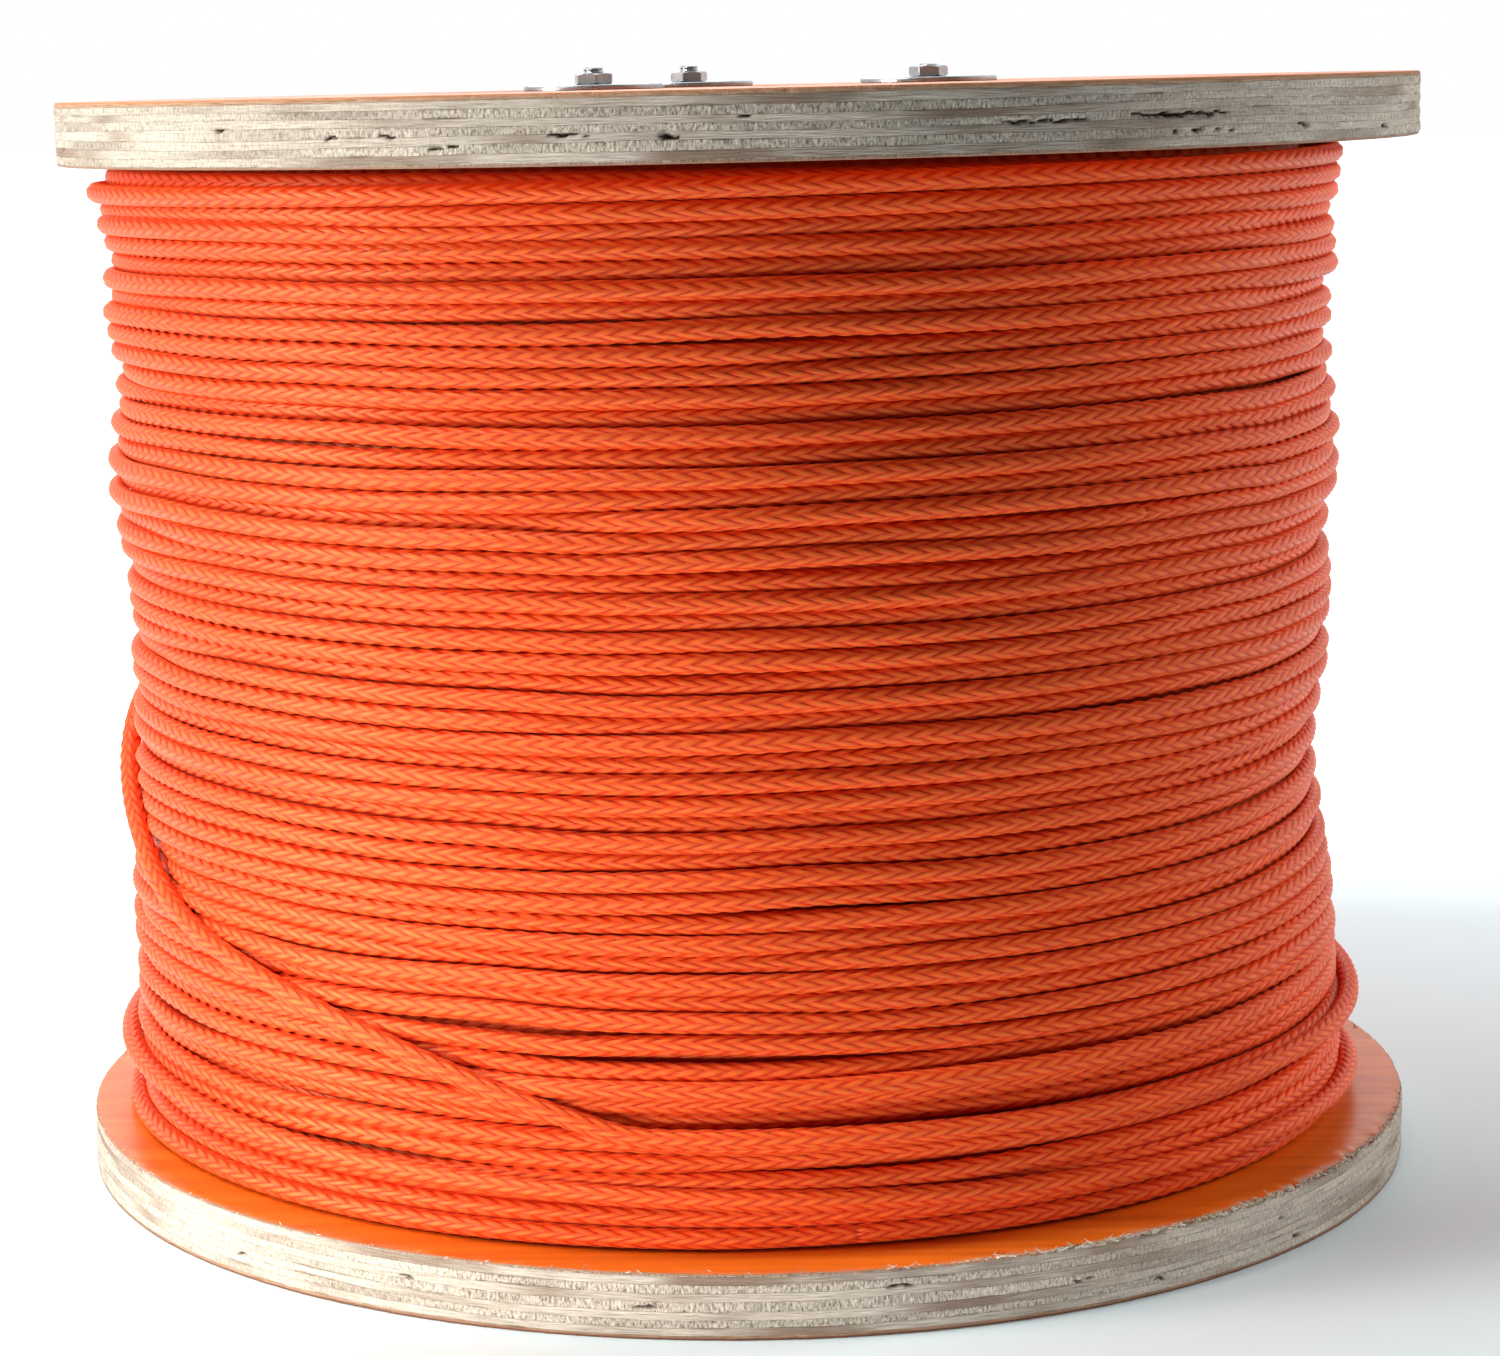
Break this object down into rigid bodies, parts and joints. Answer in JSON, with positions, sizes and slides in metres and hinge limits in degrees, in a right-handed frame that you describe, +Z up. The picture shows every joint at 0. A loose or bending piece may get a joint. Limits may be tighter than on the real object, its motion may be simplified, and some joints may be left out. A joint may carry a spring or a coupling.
{
  "type": "rope reel",
  "caption": "Plywood-flanged reel wound full with braided line, its flanges drawn onto a paperboard barrel by threaded rods with large washers and nuts.",
  "frame": {"origin": "centre of the bottom flange's outer face, which the reel stands on", "axes": "+Z up along the reel's axis, from the bottom flange to the top flange"},
  "size_m": [0.3999, 0.4, 0.324],
  "materials": {
    "plywood": "raw plywood edge, faces varnished with a satin orange tint",
    "paperboard": "spirally wound grey-brown board",
    "zinc_steel": "bright zinc plate",
    "braided_rope": "sixteen-strand hollow braid with a satin orange coating",
    "shrink_sleeve": "black shrink sleeve",
    "cloth_tape": "cloth packing tape"
  },
  "bodies": {
    "root": {"bottom_flange": "plywood", "top_flange": "plywood", "barrel_tube": "paperboard", "tie_rod_1": "zinc_steel", "tie_rod_2": "zinc_steel", "tie_rod_3": "zinc_steel", "tee_nut_1": "zinc_steel", "tee_nut_2": "zinc_steel", "tee_nut_3": "zinc_steel", "washer_1": "zinc_steel", "washer_2": "zinc_steel", "washer_3": "zinc_steel", "hex_nut_1": "zinc_steel", "hex_nut_2": "zinc_steel", "hex_nut_3": "zinc_steel", "rope_inner_layers": "braided_rope", "rope_outer_layer": "braided_rope", "rope_start_knot": "braided_rope", "rope_end_sleeve": "shrink_sleeve", "rope_end_tape": "cloth_tape"}
  },
  "joints": []
}
